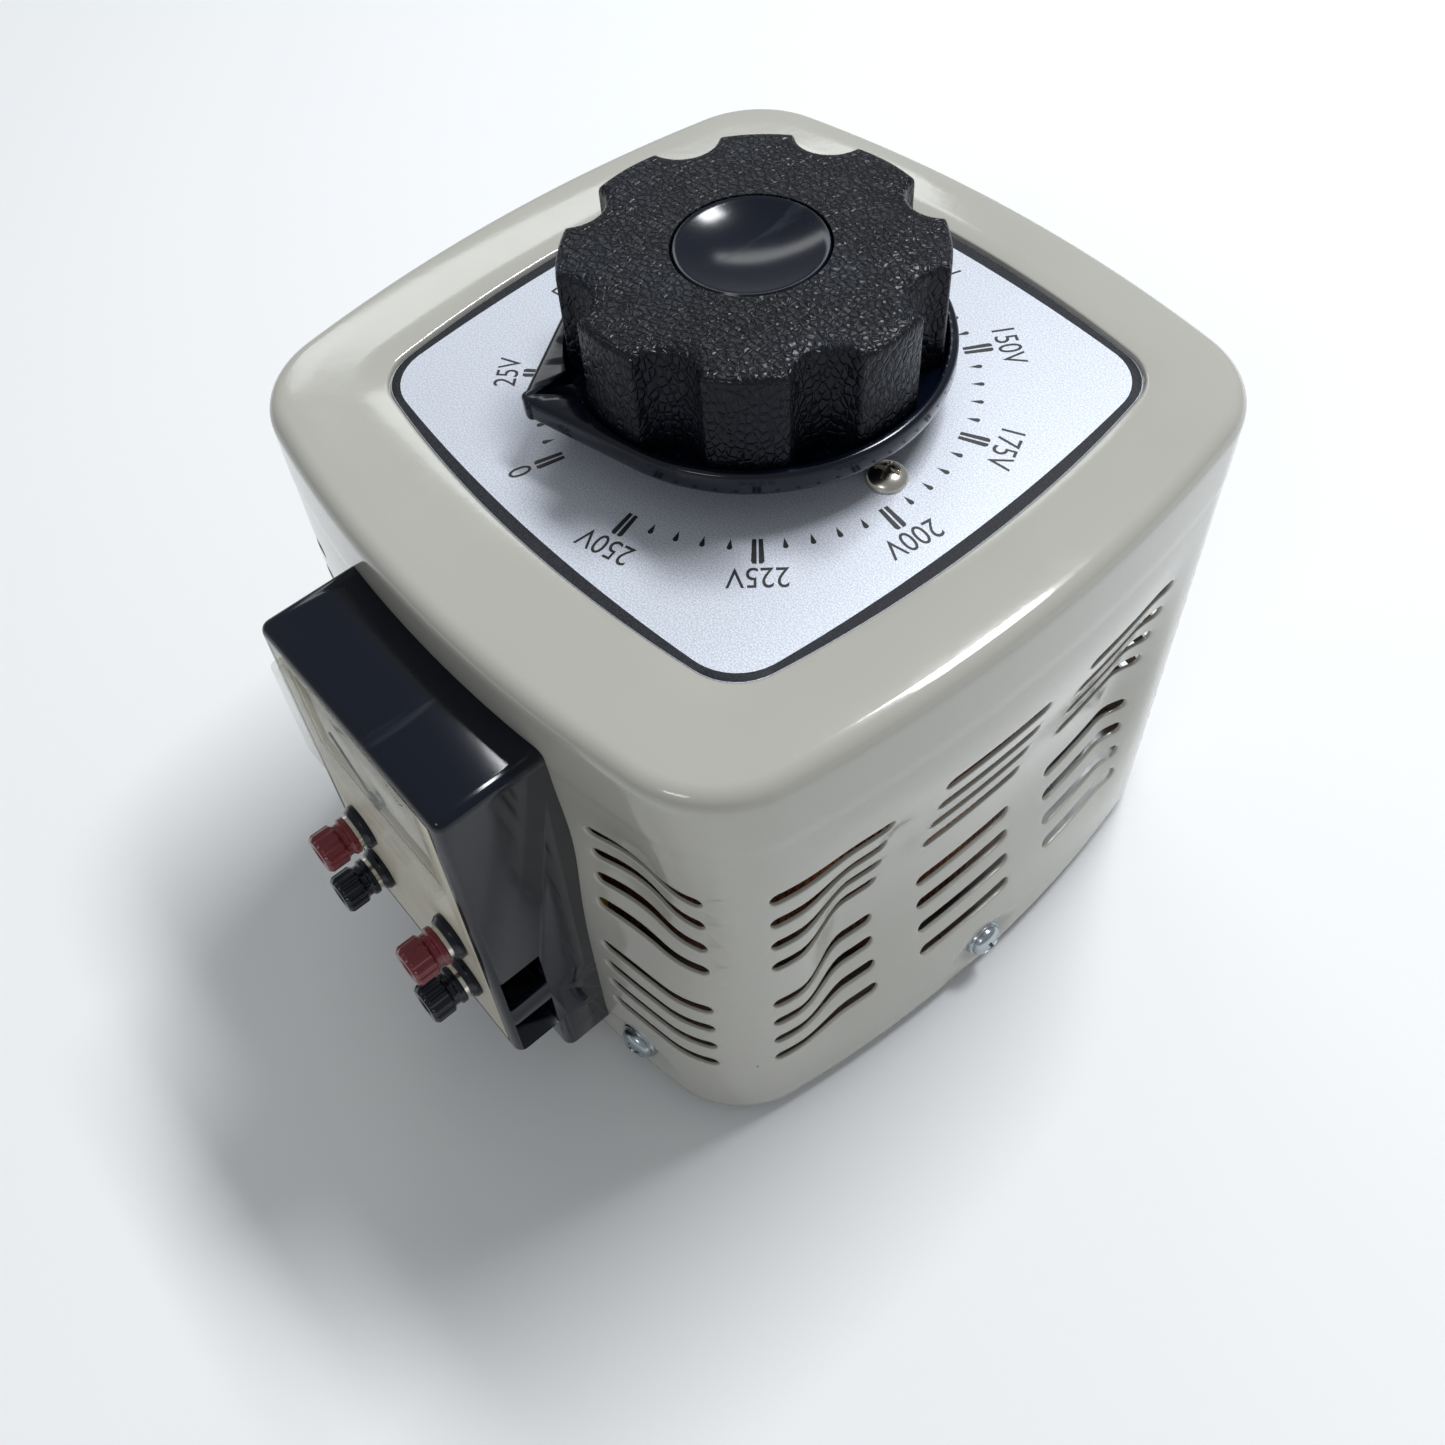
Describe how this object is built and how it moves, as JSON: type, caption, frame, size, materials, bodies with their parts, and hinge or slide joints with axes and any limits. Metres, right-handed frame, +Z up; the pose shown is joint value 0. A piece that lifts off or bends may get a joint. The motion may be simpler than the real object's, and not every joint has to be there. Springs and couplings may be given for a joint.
{
  "type": "variable autotransformer",
  "caption": "Bench variable autotransformer: bowed steel case, scalloped knob with pointer over a dial, and a terminal box with a meter and binding posts.",
  "frame": {"origin": "shaft axis at the table plane, under the rubber feet", "axes": "+Z up along the shaft, -Y towards the terminal box, +X to the right seen from the box side"},
  "size_m": [0.1892, 0.2238, 0.194],
  "materials": {
    "case_paint": "gloss cream-grey enamel",
    "zinc": "zinc plated, satin",
    "nickel": "nickel plated, bright",
    "sheet_steel": "galvanised sheet",
    "rubber": "matt",
    "plate": "satin silver print",
    "bakelite": "brown laminate",
    "core_steel": "rolled silicon steel strip",
    "copper": "varnished copper wire",
    "bare_copper": "bared and polished copper",
    "brass": "turned brass",
    "aluminium": "cast, satin",
    "carbon": "graphite",
    "black_plastic": "gloss black moulding",
    "grained_plastic": "leather grained black moulding",
    "red_plastic": "gloss dark red",
    "ivory": "ivory panel",
    "scale_card": "printed card",
    "clear": "clear moulded acrylic",
    "wire": "yellow sleeve"
  },
  "bodies": {
    "case": {"base_plate": "sheet_steel", "base_tabs": "sheet_steel", "rubber_feet": "rubber", "foot_screws": "zinc", "cover": "case_paint", "cover_screws": "zinc", "corner_posts": "zinc", "post_screws": "zinc", "top_bracket": "sheet_steel", "dial_plate": "plate", "dial_screws": "nickel", "lower_insulator": "bakelite", "toroid_core": "core_steel", "winding": "copper", "brush_track": "bare_copper", "centre_tube": "zinc", "tube_nut": "zinc", "lower_bush": "brass", "upper_bush": "brass", "clamp_disc": "bakelite", "stop_post": "zinc", "pickup_finger": "brass", "terminal_box": "black_plastic", "box_screws": "zinc", "terminal_panel": "ivory", "meter_body": "black_plastic", "meter_face": "scale_card", "meter_pivot": "zinc", "meter_window": "clear", "post_studs": "brass", "post_collars": "black_plastic", "post_nuts": "brass", "lead_wires": "wire"},
    "rotor": {"shaft": "zinc", "arm_hub": "aluminium", "hub_set_screw": "zinc", "brush_arm": "aluminium", "slip_ring": "brass", "brush_holder": "brass", "carbon_brush": "carbon", "brush_spring": "brass", "pointer_skirt": "black_plastic", "knob": "grained_plastic", "knob_cap": "black_plastic", "knob_set_screw": "zinc"},
    "needle": {"meter_needle": "black_plastic"},
    "clamp_red_left": {"washer_red_left": "nickel"},
    "turner_red_left": {"cap_red_left": "red_plastic"},
    "clamp_black_left": {"washer_black_left": "nickel"},
    "turner_black_left": {"cap_black_left": "black_plastic"},
    "clamp_red_right": {"washer_red_right": "nickel"},
    "turner_red_right": {"cap_red_right": "red_plastic"},
    "clamp_black_right": {"washer_black_right": "nickel"},
    "turner_black_right": {"cap_black_right": "black_plastic"}
  },
  "joints": [
    {"name": "knob_turn", "type": "hinge", "parent": "case", "child": "rotor", "pos_m": [0, 0, 0.1555], "axis": [0, 0, 1], "range_deg": [-323.4, 6.6]},
    {"name": "needle_swing", "type": "hinge", "parent": "case", "child": "needle", "pos_m": [0.00325, -0.1185, 0.1095], "axis": [0, 1, 0], "range_deg": [0, 90], "stiffness_Nm_per_rad": 0.00001},
    {"name": "clamp_travel_red_left", "type": "slide", "parent": "case", "child": "clamp_red_left", "axis": [0, -1, 0], "range_m": [0, 0.0021]},
    {"name": "cap_turn_red_left", "type": "hinge", "parent": "clamp_red_left", "child": "turner_red_left", "pos_m": [-0.01625, -0.1185, 0.0745], "axis": [0, -1, 0], "range_deg": [0, 1080]},
    {"name": "clamp_travel_black_left", "type": "slide", "parent": "case", "child": "clamp_black_left", "axis": [0, -1, 0], "range_m": [0, 0.0021]},
    {"name": "cap_turn_black_left", "type": "hinge", "parent": "clamp_black_left", "child": "turner_black_left", "pos_m": [-0.01625, -0.1185, 0.0535], "axis": [0, -1, 0], "range_deg": [0, 1080]},
    {"name": "clamp_travel_red_right", "type": "slide", "parent": "case", "child": "clamp_red_right", "axis": [0, -1, 0], "range_m": [0, 0.0021]},
    {"name": "cap_turn_red_right", "type": "hinge", "parent": "clamp_red_right", "child": "turner_red_right", "pos_m": [0.02275, -0.1185, 0.0745], "axis": [0, -1, 0], "range_deg": [0, 1080]},
    {"name": "clamp_travel_black_right", "type": "slide", "parent": "case", "child": "clamp_black_right", "axis": [0, -1, 0], "range_m": [0, 0.0021]},
    {"name": "cap_turn_black_right", "type": "hinge", "parent": "clamp_black_right", "child": "turner_black_right", "pos_m": [0.02275, -0.1185, 0.0535], "axis": [0, -1, 0], "range_deg": [0, 1080]}
  ],
  "couplings": [
    {"joint": "clamp_travel_red_left", "follows": "cap_turn_red_left", "m_per_rad": 0.00011141},
    {"joint": "clamp_travel_black_left", "follows": "cap_turn_black_left", "m_per_rad": 0.00011141},
    {"joint": "clamp_travel_red_right", "follows": "cap_turn_red_right", "m_per_rad": 0.00011141},
    {"joint": "clamp_travel_black_right", "follows": "cap_turn_black_right", "m_per_rad": 0.00011141}
  ]
}
